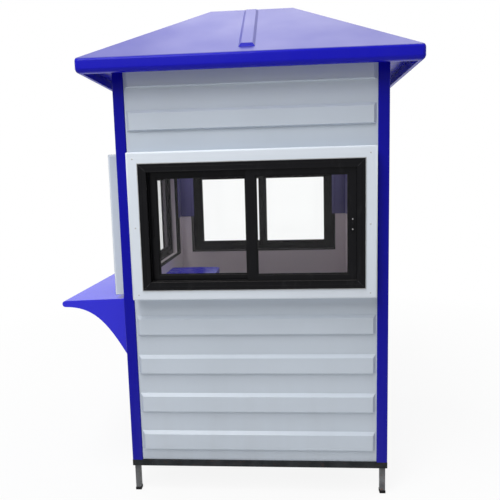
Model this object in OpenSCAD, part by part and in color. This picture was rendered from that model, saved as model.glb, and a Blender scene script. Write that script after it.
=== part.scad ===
// Moulded guard booth: ribbed white walls between blue corner posts under a hipped roof moulding,
// with sliding windows on three sides, a door on the fourth and a counter outside.
// Millimetres. The origin is on the ground at the centre of the four legs. The front faces -Y, +Z is up.

/* [Booth] */
// Width over the corner posts, left to right
booth_w = 1220; // [1000:10:1800]
// Depth over the corner posts, front to back
booth_d = 1220; // [1000:10:1800]
// Height of the walls and posts above the base
wall_h = 1840; // [1780:5:2200]

/* [Base] */
// Height of the legs below the base rails
leg_h = 130; // [60:5:250]
// Width of the square leg
leg_w = 25; // [20:1:50]
// Setback of the leg from the outside of the base
leg_inset = 8; // [0:1:20]
// Height of the base rails
rail_h = 30; // [20:1:60]
// Width of the base rails, with the ledge that carries the floor
rail_w = 75; // [65:1:110]
// Thickness of the floor panel
floor_t = 18; // [9:1:25]

/* [Corner posts] */
// Width of the square post
post_w = 50; // [46:1:80]
// Radius of the exposed edges of the post
post_r = 6; // [2:1:8]

/* [Wall panels] */
// Setback of the panel's flat from the outside of the posts
panel_setback = 8; // [4:1:12]
// Height of the lowest rib's underside above the base
rib_first = 58; // [30:1:80]
// Spacing of the ribs
rib_pitch = 188.5; // [150:0.5:240]
// Height of one rib
rib_h = 90; // [60:1:120]
// Depth of a rib in front of the panel's flat, which is also its chamfer along the top and the ends
rib_proud = 14; // [6:1:20]
// Chamfer along a rib's underside
rib_under = 3; // [1:1:14]
// Space between a rib's end and whatever stands beside it
rib_margin = 6; // [3:1:30]

/* [Window box] */
// Height of the box's underside above the base
box_sill = 803; // [790:1:900]
// Height of the box
box_h = 666; // [560:1:760]
// Space between the box and the posts
box_margin = 11; // [4:1:40]
// Depth of the box in front of the posts
box_proud = 60; // [50:1:90]
// Radius of the box's edges
box_r = 10; // [3:1:20]
// Width of the box's face beside the window
box_border_side = 53; // [40:1:90]
// Height of the box's face below the window
box_border_low = 47; // [40:1:80]
// Height of the box's face above the window
box_border_top = 53; // [40:1:80]

/* [Sliding windows] */
// Width of the outer frame as seen from the front
frame_face = 38; // [32:1:60]
// Width of the flange that lies on the box
flange_lip = 8; // [4:1:14]
// Thickness of the flange
flange_t = 4; // [2:1:6]
// Thickness of the webs between the tracks
track_web = 6; // [3:1:7]
// Depth of the tracks
track_depth = 10; // [6:1:14]
// Thickness of a sash
sash_t = 20; // [16:1:20]
// Width of the sash's side stile that shows inside the frame
sash_stile = 33; // [24:1:50]
// Height of the sash's rails that shows inside the frame
sash_rail = 25; // [18:1:45]
// Width of the two stiles that meet in the middle
meeting_stile = 46; // [36:1:60]
// Thickness of the panes
glass_t = 5; // [4:1:8]
// Depth by which a pane sits in its groove
glass_seat = 8; // [5:1:12]

/* [Door] */
// Width of the wall on each side of the door frame
door_strip = 170; // [120:5:220]
// Height of the wall above the door frame
door_over = 50; // [50:5:100]
// Width of the door frame as seen from outside
door_frame_face = 40; // [30:1:60]
// Height of the threshold
threshold_h = 30; // [20:1:40]
// Gap round the door leaf
door_gap = 3; // [2:0.5:5]
// Thickness of the door leaf
leaf_t = 30; // [24:1:34]
// Width by which the stop overlaps the leaf
stop_w = 12; // [8:1:20]
// Width of the leaf beside its window
leaf_stile = 100; // [80:1:140]
// Width of the black frame round the door's window
bead_face = 22; // [16:1:36]

/* [Door furniture] */
// Height of the lever above the foot of the door's window
handle_rise = 110; // [106:1:200]
// Width of the handle's plate
handle_plate_w = 38; // [30:1:50]
// Height of the handle's plate
handle_plate_h = 210; // [150:5:210]
// Thickness of the handle's plate
handle_plate_t = 7; // [4:1:10]
// Radius of the lever
lever_r = 9; // [6:0.5:11]
// Length of the lever
lever_l = 115; // [90:5:130]
// Distance of the lever from the leaf
lever_neck = 38; // [34:1:60]
// Height of a hinge
hinge_h = 80; // [60:1:90]
// Radius of a hinge's knuckle
hinge_r = 7; // [5:0.5:9]
// Width of a hinge's plate
hinge_plate_w = 24; // [16:1:26]
// Thickness of a hinge's plate
hinge_plate_t = 4; // [3:0.5:5]

/* [Roof] */
// Overhang of the roof beyond the posts
overhang = 120; // [60:5:200]
// Height of the fascia
fascia_h = 59; // [52:1:120]
// Depth by which the fascia hangs below the tops of the walls
eave_drop = 40; // [36:1:60]
// Thickness of the rim behind the fascia
rim_t = 28; // [24:1:45]
// Width of the ledge behind the rim that rests on the soffit
ledge_w = 16; // [10:1:30]
// Radius of the fascia's rolled lower edge
roll_r = 20; // [8:1:22]
// Radius of the fascia's corners, seen from above
roof_corner_r = 18; // [5:1:30]
// Rise from the fascia to the flat top
roof_rise = 331; // [200:1:335]
// Slope of the roof in degrees
roof_pitch = 32.4; // [32:0.1:40]
// Thickness of the roof moulding
roof_t = 8; // [5:1:12]
// Thickness of the panel that closes the roof's underside
soffit_t = 8; // [5:1:10]
// Thickness of the ceiling lining
ceiling_t = 6; // [4:1:10]
// Width of the rib up each slope
roof_rib_w = 72; // [50:1:100]
// Depth of the rib on each slope, which is also its chamfer
roof_rib_proud = 12; // [6:1:18]
// Distance of the rib from the fascia, along the slope
roof_rib_start = 60; // [30:1:120]
// Distance of the rib from the flat top, along the slope
roof_rib_end = 25; // [15:1:80]

/* [Service counter] */
// Reach of the counter from the wall's ribs
counter_reach = 318; // [250:1:420]
// Space between the counter's top and the window box above it
counter_gap = 17; // [5:1:60]
// Fall of the counter's top towards its edge
counter_fall = 10; // [0:1:20]
// Thickness of the counter's edge
counter_edge = 30; // [20:1:40]
// Depth of the corbel below the counter's top
corbel_drop = 281; // [220:1:340]
// Thickness of the corbel's foot
corbel_foot = 9; // [5:1:20]
// Slope of the corbel at its foot in degrees
corbel_slope = 61; // [55:1:75]
// Reach of the curve that leaves the foot along that slope
corbel_foot_pull = 200; // [120:5:220]
// Reach of the curve that leaves the counter's edge level
corbel_edge_pull = 132; // [80:1:160]

/* [Writing table] */
// Length of the table along the left wall
table_l = 800; // [500:10:900]
// Depth of the table
table_d = 300; // [200:5:340]
// Depth of the table's top below the window frame
table_drop = 50; // [10:5:110]
// Thickness of the table
table_t = 30; // [20:1:45]
// Radius of the table's free corner
table_r = 40; // [10:1:80]

/* [Hidden] */

// Smoothness of round edges
$fn = 48;
// Gap round a piece that slides or drops into its seat
fit_gap = 0.3;
// Overlap that welds a raised shape to the piece it grows from
weld = 4;
// Length by which a cut runs past the face it opens
cut = 10;

WHITE = [0.85, 0.87, 0.90];
BLUE = [0.10, 0.09, 0.62];
BLACK = [0.09, 0.09, 0.10];
STEEL = [0.16, 0.17, 0.18];
FLOOR_GREY = [0.42, 0.42, 0.43];
GLASS = [0.62, 0.72, 0.74, 0.35];
CHROME = [0.75, 0.76, 0.78];

// Sides of the booth, each a quarter turn on from the one before
SIDES = ["front", "right", "back", "left"];

base_top = leg_h + rail_h;
wall_top = base_top + wall_h;

// The panels reach to the inside of the posts, so the room's corners are flush
room_w = booth_w - 2 * post_w;
room_d = booth_d - 2 * post_w;
rib_count = floor((wall_h - rib_first - 2 * rib_proud) / rib_pitch) + 1;

// Window box and window, upwards from the base; widths follow the wall that holds them
box_top = box_sill + box_h;
window_sill = box_sill + box_border_low;
window_h = box_h - box_border_low - box_border_top;
track_t = sash_t + 2 * fit_gap;
frame_depth = 2 * track_t + 3 * track_web;

// Counter and table, upwards from the base
counter_z = box_sill - counter_gap;
table_z = window_sill - table_drop;

// Door, upwards from the base and outwards from its middle
door_w = panel_l("right") - 2 * door_strip;
door_h = wall_h - door_over;
door_body_w = door_w - 2 * flange_lip;
door_pocket_w = door_w - 2 * door_frame_face;
door_head = door_h - door_frame_face;
leaf_w = door_pocket_w - 2 * door_gap;
leaf_z = threshold_h + door_gap;
leaf_h = door_head - door_gap - leaf_z;
light_w = leaf_w - 2 * leaf_stile;
handle_z = window_sill + handle_rise;

// Ribs with a hinge in the space above them: the lowest, the middle one and the last below the leaf's top
last_space = floor((leaf_z + leaf_h - rib_first) / rib_pitch) - 1;
hinge_ribs = [0, floor(last_space / 2), last_space];

// Roof, upwards from the ground and outwards from its middle
roof_run = roof_rise / tan(roof_pitch);
slope_l = roof_rise / sin(roof_pitch);
fascia_z = wall_top - eave_drop;
eave_z = fascia_z + fascia_h;
ridge_z = eave_z + roof_rise;

function turns(side) = search([side], SIDES)[0];
function runs_across(side) = side == "front" || side == "back";
function wall_l(side) = runs_across(side) ? booth_w : booth_d;
function wall_off(side) = (runs_across(side) ? booth_d : booth_w) / 2;
function panel_l(side) = wall_l(side) - 2 * post_w;
function box_w(side) = panel_l(side) - 2 * box_margin;
function window_w(side) = box_w(side) - 2 * box_border_side;
function rib_z(i) = rib_first + i * rib_pitch;

// Point on a cubic curve with the four control points p
function curve_at(p, t) =
    pow(1 - t, 3) * p[0] + 3 * t * pow(1 - t, 2) * p[1] + 3 * t * t * (1 - t) * p[2] + pow(t, 3) * p[3];

// Places a shape drawn for the front: x along the wall, -y outwards from the posts' face, z up from the base
module on_side(side) {
    rotate([0, 0, 90 * turns(side)])
        translate([0, -wall_off(side), base_top])
            children();
}

// Places a shape drawn inwards from the corner at +X, +Y, with sx and sy the signs of the real corner
module at_corner(sx, sy) {
    mirror([sx < 0 ? 1 : 0, 0, 0])
        mirror([0, sy < 0 ? 1 : 0, 0])
            translate([booth_w / 2, booth_d / 2, 0])
                children();
}

// Stands a drawing of x and height up in the wall's plane, from y0 to y1
module upright(y0, y1) {
    translate([0, y1, 0])
        rotate([90, 0, 0])
            linear_extrude(y1 - y0)
                children();
}

// Sweeps a drawing of y and height along x, over length l about the middle
module along(l) {
    translate([-l / 2, 0, 0])
        rotate([90, 0, 90])
            linear_extrude(l)
                children();
}

// Rectangle with round corners, from its lower left corner
module round_rect(w, h, r) {
    translate([r, 0])
        square([w - 2 * r, h]);
    translate([0, r])
        square([w, h - 2 * r]);
    for (x = [r, w - r], y = [r, h - r])
        translate([x, y])
            circle(r);
}

// Upright block from y0 to y1, centred in x on z = 0
module slab(w, h, y0, y1) {
    translate([-w / 2, y0, 0])
        cube([w, y1 - y0, h]);
}

// Upright ring: a block with a hole that leaves the given widths at the sides, bottom and top
module ring(w, h, y0, y1, side, low, top) {
    difference() {
        slab(w, h, y0, y1);
        translate([0, 0, low])
            slab(w - 2 * side, h - low - top, y0 - cut, y1 + cut);
    }
}

// Raised bar on the plane y = 0, chamfered at 45 degrees along its top and ends
module raised_bar(l, h, proud, under) {
    intersection() {
        along(l)
            polygon([[weld, 0], [0, 0], [-proud, under], [-proud, h - proud], [0, h], [weld, h]]);
        linear_extrude(h)
            polygon([
                [-l / 2, weld], [-l / 2, 0], [proud - l / 2, -proud],
                [l / 2 - proud, -proud], [l / 2, 0], [l / 2, weld]
            ]);
    }
}

// Block in front of y = 0 with round front edges and round corners
module soft_box(w, h, proud, r) {
    intersection() {
        along(w)
            translate([-proud, 0])
                round_rect(proud + weld + r, h, r);
        linear_extrude(h)
            translate([-w / 2, -proud])
                round_rect(w, proud + weld + r, r);
        upright(-proud, weld)
            translate([-w / 2, 0])
                round_rect(w, h, r);
    }
}

module leg(sx, sy) {
    color(STEEL)
        at_corner(sx, sy)
            translate([-leg_inset - leg_w, -leg_inset - leg_w, 0])
                cube([leg_w, leg_w, leg_h]);
}

// Front and back rails run the full width, the side rails fit between them
module base_rail(side) {
    rail_l = runs_across(side) ? booth_w : booth_d - 2 * rail_w;
    color(BLACK)
        on_side(side)
            translate([0, 0, -rail_h])
                slab(rail_l, rail_h, 0, rail_w);
}

module floor_panel() {
    color(FLOOR_GREY)
        translate([-room_w / 2, -room_d / 2, base_top])
            cube([room_w, room_d, floor_t]);
}

// Square post with its three outer edges rounded; the edge in the room's corner stays sharp
module post(sx, sy) {
    color(BLUE)
        at_corner(sx, sy)
            translate([-post_w, -post_w, base_top])
                linear_extrude(wall_h) {
                    round_rect(post_w, post_w, post_r);
                    square(post_w / 2);
                }
}

// Flat panel between two posts, standing on the base
module panel(side) {
    slab(panel_l(side), wall_h, panel_setback, post_w);
}

// Rib i, of length l about its own middle; the top rib is cut short by the top of the wall
module rib(i, l) {
    translate([0, panel_setback, rib_z(i)])
        raised_bar(l, min(rib_h, wall_h - rib_z(i)), rib_proud, rib_under);
}

// Wall with full ribs above and below the raised box that carries its window
module window_wall(side) {
    hole_w = window_w(side) - 2 * flange_lip;
    hole_h = window_h - 2 * flange_lip;
    color(WHITE)
        on_side(side)
            difference() {
                union() {
                    panel(side);
                    for (i = [0 : rib_count - 1])
                        if (rib_z(i) + rib_h < box_sill || rib_z(i) > box_top)
                            rib(i, panel_l(side) - 2 * rib_margin);
                    translate([0, panel_setback, box_sill])
                        soft_box(box_w(side), box_h, box_proud + panel_setback, box_r);
                }
                translate([0, 0, window_sill + flange_lip - fit_gap])
                    slab(hole_w + 2 * fit_gap, hole_h + 2 * fit_gap, -box_proud - cut, post_w + cut);
            }
}

// Wall round the doorway, with short ribs beside it and a full rib above where there is room
module door_wall(side) {
    strip_l = (panel_l(side) - door_w) / 2;
    color(WHITE)
        on_side(side)
            difference() {
                union() {
                    panel(side);
                    for (i = [0 : rib_count - 1])
                        if (rib_z(i) > door_h)
                            rib(i, panel_l(side) - 2 * rib_margin);
                        else if (rib_z(i) + rib_h <= door_h)
                            for (s = [-1, 1])
                                translate([s * (door_w + strip_l) / 2, 0, 0])
                                    rib(i, strip_l - 2 * rib_margin);
                }
                translate([0, 0, -cut])
                    slab(
                        door_body_w + 2 * fit_gap, door_h - flange_lip + fit_gap + cut,
                        panel_setback - rib_proud - cut, post_w + cut
                    );
            }
}

// Outer frame: a flange on the box, a body in the opening, and two tracks round the inside
module window_frame(side) {
    w = window_w(side);
    body_face = frame_face - flange_lip;
    track_face = body_face - track_depth;
    color(BLACK)
        on_side(side)
            translate([0, -box_proud, window_sill])
                difference() {
                    union() {
                        ring(w, window_h, -flange_t, 0, frame_face, frame_face, frame_face);
                        translate([0, 0, flange_lip])
                            ring(
                                w - 2 * flange_lip, window_h - 2 * flange_lip, 0, frame_depth,
                                body_face, body_face, body_face
                            );
                    }
                    for (track = [0, 1])
                        translate([0, track_web + track * (track_t + track_web), flange_lip + track_face])
                            slab(
                                w - 2 * (flange_lip + track_face),
                                window_h - 2 * (flange_lip + track_face), 0, track_t
                            );
                }
}

// Places a sash or pane drawn with its meeting stile about x = 0 and its body towards +x.
// The right one runs in the outer track and the left one in the inner track.
module in_track(side, right) {
    track_y = track_web + fit_gap + (right ? 0 : track_t + track_web);
    on_side(side)
        translate([0, track_y - box_proud, window_sill + frame_face])
            mirror([right ? 0 : 1, 0, 0])
                children();
}

// Clear opening of a sash: from the meeting stile to the side stile, between the rails
function light_l(side) = window_w(side) / 2 - frame_face - sash_stile - meeting_stile / 2;
function light_h() = window_h - 2 * frame_face - 2 * sash_rail;

module sash(side, right) {
    seat = track_depth - fit_gap;
    sash_w = meeting_stile + light_l(side) + sash_stile + seat;
    sash_h = window_h - 2 * frame_face + 2 * seat;
    groove_t = glass_t + 2 * fit_gap;
    groove_y = (sash_t - groove_t) / 2;
    color(BLACK)
        in_track(side, right)
            difference() {
                translate([-meeting_stile / 2, 0, -seat])
                    cube([sash_w, sash_t, sash_h]);
                translate([meeting_stile / 2, -cut, sash_rail])
                    cube([light_l(side), sash_t + 2 * cut, light_h()]);
                translate([meeting_stile / 2 - glass_seat, groove_y, sash_rail - glass_seat])
                    cube([light_l(side) + 2 * glass_seat, groove_t, light_h() + 2 * glass_seat]);
            }
}

module pane(side, right) {
    seat = glass_seat - fit_gap;
    color(GLASS)
        in_track(side, right)
            translate([meeting_stile / 2 - seat, (sash_t - glass_t) / 2, sash_rail - seat])
                cube([light_l(side) + 2 * seat, glass_t, light_h() + 2 * seat]);
}

// Door frame: a flange on the wall, a body in the doorway, and a stop behind the leaf
module door_frame() {
    body_face = door_frame_face - flange_lip;
    color(BLACK)
        on_side("right")
            difference() {
                union() {
                    slab(door_w, door_h, panel_setback - flange_t, panel_setback);
                    slab(door_body_w, door_h - flange_lip, panel_setback, post_w);
                }
                translate([0, 0, threshold_h])
                    slab(
                        door_pocket_w, door_head - threshold_h,
                        panel_setback - flange_t - cut, panel_setback + leaf_t + fit_gap
                    );
                translate([0, 0, threshold_h + stop_w])
                    slab(
                        door_pocket_w - 2 * stop_w, door_head - threshold_h - 2 * stop_w,
                        panel_setback, post_w + cut
                    );
            }
}

// Leaf with the walls' ribs, and an opening level with the windows
module door_leaf() {
    hole_w = light_w + 2 * fit_gap;
    hole_h = window_h + 2 * fit_gap;
    color(WHITE)
        on_side("right")
            difference() {
                union() {
                    translate([0, 0, leaf_z])
                        slab(leaf_w, leaf_h, panel_setback, panel_setback + leaf_t);
                    for (i = [0 : rib_count - 1])
                        if (rib_z(i) + rib_h < window_sill - bead_face
                            || (rib_z(i) > window_sill + window_h + bead_face
                                && rib_z(i) + rib_h < leaf_z + leaf_h))
                            rib(i, leaf_w - 2 * rib_margin);
                }
                translate([0, 0, window_sill - fit_gap])
                    slab(hole_w, hole_h, panel_setback - cut, panel_setback + leaf_t + cut);
            }
}

// Black frame in the leaf's opening: a flange outside and a groove for the pane
module door_window_frame() {
    hold = glass_seat + track_web;
    color(BLACK)
        on_side("right")
            translate([0, panel_setback, window_sill])
                difference() {
                    union() {
                        translate([0, 0, hold - bead_face])
                            ring(
                                light_w + 2 * (bead_face - hold), window_h + 2 * (bead_face - hold),
                                -flange_t, 0, bead_face, bead_face, bead_face
                            );
                        ring(light_w, window_h, 0, leaf_t, hold, hold, hold);
                    }
                    translate([0, 0, track_web])
                        slab(
                            light_w - 2 * track_web, window_h - 2 * track_web,
                            (leaf_t - glass_t) / 2 - fit_gap, (leaf_t + glass_t) / 2 + fit_gap
                        );
                }
}

module door_glass() {
    rim = track_web + fit_gap;
    color(GLASS)
        on_side("right")
            translate([0, panel_setback, window_sill + rim])
                slab(
                    light_w - 2 * rim, window_h - 2 * rim,
                    (leaf_t - glass_t) / 2, (leaf_t + glass_t) / 2
                );
}

// Lever handle on a long plate, near the leaf's front edge
module door_handle() {
    color(CHROME)
        on_side("right")
            translate([-(leaf_w - leaf_stile) / 2, panel_setback, handle_z]) {
                upright(-handle_plate_t, 0)
                    translate([-handle_plate_w / 2, -handle_plate_h / 2])
                        round_rect(handle_plate_w, handle_plate_h, handle_plate_w / 3);
                rotate([90, 0, 0])
                    cylinder(r = lever_r, h = lever_neck + lever_r);
                translate([0, -lever_neck, 0])
                    rotate([0, 90, 0])
                        cylinder(r = lever_r, h = lever_l);
            }
}

// Butt hinges over the gap at the leaf's back edge, each in a space between two ribs.
// The plate on the leaf is thicker, because the frame's flange stands in front of the leaf.
module door_hinges() {
    plate_y = panel_setback - flange_t - hinge_plate_t;
    color(STEEL)
        on_side("right")
            for (i = hinge_ribs)
                translate([leaf_w / 2, plate_y, rib_z(i) + (rib_h + rib_pitch - hinge_h) / 2]) {
                    translate([-hinge_plate_w, 0, 0])
                        cube([hinge_plate_w, flange_t + hinge_plate_t, hinge_h]);
                    cube([hinge_plate_w + door_gap, hinge_plate_t, hinge_h]);
                    translate([door_gap / 2, hinge_plate_t / 2 - hinge_r, 0])
                        cylinder(r = hinge_r, h = hinge_h);
                }
}

// Half outline of the roof, from its middle to the fascia r out, with the lower edge rolled under
module roof_outline(r) {
    polygon([
        [0, fascia_z], [r - roll_r, fascia_z], [r - roll_r, fascia_z + roll_r], [r, fascia_z + roll_r],
        [r, eave_z], [r - roof_run, ridge_z], [0, ridge_z]
    ]);
    translate([r - roll_r, fascia_z + roll_r])
        circle(roll_r);
}

// Half outline of the space under the roof: inside the rim, a ledge on the soffit, then the slope
module roof_space(r) {
    rim_x = r - rim_t;
    ledge_z = wall_top + soffit_t;
    ledge_x = rim_x - ledge_w;
    slope_drop = roof_t / cos(roof_pitch);
    under_z = ridge_z - roof_t;
    under_x = r - (under_z + slope_drop - eave_z) / tan(roof_pitch);
    polygon([
        [0, fascia_z - cut], [rim_x, fascia_z - cut], [rim_x, ledge_z], [ledge_x, ledge_z],
        [ledge_x, eave_z + (r - ledge_x) * tan(roof_pitch) - slope_drop], [under_x, under_z], [0, under_z]
    ]);
}

// The hipped solid where two crossing prisms meet, each drawn as half an outline
module hipped() {
    intersection() {
        along(booth_w + 4 * overhang)
            for (side = [0, 1])
                mirror([side, 0])
                    children(0);
        rotate([0, 0, 90])
            along(booth_d + 4 * overhang)
                for (side = [0, 1])
                    mirror([side, 0])
                        children(1);
    }
}

module roof_shell() {
    reach_x = booth_w / 2 + overhang;
    reach_y = booth_d / 2 + overhang;
    color(BLUE) {
        difference() {
            intersection() {
                hipped() {
                    roof_outline(reach_y);
                    roof_outline(reach_x);
                }
                translate([-reach_x, -reach_y, fascia_z])
                    linear_extrude(ridge_z - fascia_z)
                        round_rect(2 * reach_x, 2 * reach_y, roof_corner_r);
            }
            hipped() {
                roof_space(reach_y);
                roof_space(reach_x);
            }
        }
        for (side = SIDES)
            on_side(side)
                translate([0, -overhang, eave_z - base_top])
                    rotate([roof_pitch - 90, 0, 0])
                        translate([0, 0, roof_rib_start])
                            raised_bar(
                                roof_rib_w, slope_l - roof_rib_start - roof_rib_end,
                                roof_rib_proud, roof_rib_proud
                            );
    }
}

// Panel on top of the walls that fills the roof's rim
module roof_soffit() {
    soffit_w = booth_w + 2 * (overhang - rim_t);
    soffit_d = booth_d + 2 * (overhang - rim_t);
    color(BLUE)
        translate([-soffit_w / 2, -soffit_d / 2, wall_top])
            cube([soffit_w, soffit_d, soffit_t]);
}

module ceiling_panel() {
    color(WHITE)
        translate([-room_w / 2, -room_d / 2, wall_top - ceiling_t])
            cube([room_w, room_d, ceiling_t]);
}

// Counter on the left wall's ribs: one swept section as long as the window box, round at its edge
module service_counter() {
    edge_r = counter_edge / 2;
    edge = [counter_reach - edge_r, -counter_fall - edge_r];
    under = edge - [0, edge_r];
    foot = [corbel_foot, -corbel_drop];
    cove = [
        under, under - [corbel_edge_pull, 0],
        foot + corbel_foot_pull * [cos(corbel_slope), sin(corbel_slope)], foot
    ];
    steps = 16;
    turn = 180 / steps;
    color(BLUE)
        on_side("left")
            translate([0, panel_setback - rib_proud, counter_z])
                along(box_w("left"))
                    mirror([1, 0])
                        polygon(concat(
                            [[0, -corbel_drop], [0, 0]],
                            [for (i = [0 : steps]) edge + edge_r * [sin(turn * i), cos(turn * i)]],
                            [for (i = [1 : steps]) curve_at(cove, i / steps)]
                        ));
}

// Table in the room's front left corner, with its free corner rounded
module writing_table() {
    color(BLUE)
        translate([-room_w / 2, -room_d / 2, base_top + table_z - table_t])
            linear_extrude(table_t) {
                square([table_d - table_r, table_l]);
                square([table_d, table_l - table_r]);
                translate([table_d - table_r, table_l - table_r])
                    circle(table_r);
            }
}

leg(-1, -1);  // front_left_leg
leg(1, -1);  // front_right_leg
leg(-1, 1);  // back_left_leg
leg(1, 1);  // back_right_leg
base_rail("front");  // front_base_rail
base_rail("back");  // back_base_rail
base_rail("left");  // left_base_rail
base_rail("right");  // right_base_rail
floor_panel();
post(-1, -1);  // front_left_post
post(1, -1);  // front_right_post
post(-1, 1);  // back_left_post
post(1, 1);  // back_right_post
window_wall("front");  // front_wall
window_wall("back");  // back_wall
window_wall("left");  // left_wall
door_wall("right");  // right_wall
window_frame("front");  // front_window_frame
sash("front", false);  // front_window_left_sash
sash("front", true);  // front_window_right_sash
pane("front", false);  // front_window_left_glass
pane("front", true);  // front_window_right_glass
window_frame("back");  // back_window_frame
sash("back", false);  // back_window_left_sash
sash("back", true);  // back_window_right_sash
pane("back", false);  // back_window_left_glass
pane("back", true);  // back_window_right_glass
window_frame("left");  // left_window_frame
sash("left", false);  // left_window_left_sash
sash("left", true);  // left_window_right_sash
pane("left", false);  // left_window_left_glass
pane("left", true);  // left_window_right_glass
door_frame();
door_leaf();
door_window_frame();
door_glass();
door_handle();
door_hinges();
roof_shell();
roof_soffit();
ceiling_panel();
service_counter();
writing_table();
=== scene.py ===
"""Moulded guard booth: finishes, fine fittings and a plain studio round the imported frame.

Metres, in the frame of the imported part: the front faces -Y, the door is on +X and +Z is up.
"""
import logging
import math
from dataclasses import dataclass
from enum import Enum
from typing import Callable, Protocol, Sequence

import bmesh
import bpy
from bpy.types import Material, Mesh, NodeSocket, Object
from mathutils import Matrix, Vector


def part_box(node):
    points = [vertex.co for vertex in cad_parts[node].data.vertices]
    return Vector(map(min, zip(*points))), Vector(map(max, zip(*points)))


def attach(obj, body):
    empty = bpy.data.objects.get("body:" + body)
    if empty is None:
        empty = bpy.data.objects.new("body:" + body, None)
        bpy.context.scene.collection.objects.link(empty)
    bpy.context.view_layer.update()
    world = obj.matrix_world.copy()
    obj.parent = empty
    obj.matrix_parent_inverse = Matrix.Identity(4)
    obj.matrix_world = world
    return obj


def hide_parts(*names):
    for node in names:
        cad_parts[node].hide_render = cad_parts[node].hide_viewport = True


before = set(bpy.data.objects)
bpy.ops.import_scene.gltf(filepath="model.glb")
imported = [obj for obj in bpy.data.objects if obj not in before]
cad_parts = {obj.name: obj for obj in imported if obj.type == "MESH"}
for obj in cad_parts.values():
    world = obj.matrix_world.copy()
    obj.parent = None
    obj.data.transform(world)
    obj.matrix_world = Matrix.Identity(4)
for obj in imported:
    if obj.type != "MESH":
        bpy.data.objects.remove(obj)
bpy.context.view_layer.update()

LOG = logging.getLogger("guard_booth")
BODY = "root"
MM = 0.001
SHARP = math.radians(30)
FLAT = math.radians(0.5)
WIDE_STEPS = 5
FACING = 0.9
SIDEWAYS = 0.1
WELD = 0.01 * MM
FLANGE_T = 4 * MM

Colour = tuple[float, float, float]
Point = tuple[float, float, float]

DUST: Colour = (0.22, 0.21, 0.20)
MUD: Colour = (0.30, 0.27, 0.23)
RUST: Colour = (0.13, 0.052, 0.022)
WHITE = (1, 1, 1, 1)


class Side(Enum):
    """Sides of the booth, each a quarter turn on from the one before."""

    FRONT = 0
    RIGHT = 1
    BACK = 2
    LEFT = 3

    @property
    def label(self) -> str:
        """Name of the side as the nodes spell it."""
        return self.name.lower()

    @property
    def turn(self) -> Matrix:
        """Turn that brings a shape drawn for the front to this side."""
        return Matrix.Rotation(math.pi / 2 * self.value, 4, "Z")

    def box(self, node: str) -> tuple[Vector, Vector]:
        """Finds a node's box as if this side were the front.

        Args:
            node: Name of the CAD node.

        Returns:
            The lowest and the highest corner.
        """
        ends = [self.turn.inverted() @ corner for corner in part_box(node)]
        return Vector(map(min, *ends)), Vector(map(max, *ends))


WINDOW_SIDES = (Side.FRONT, Side.BACK, Side.LEFT)


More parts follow.
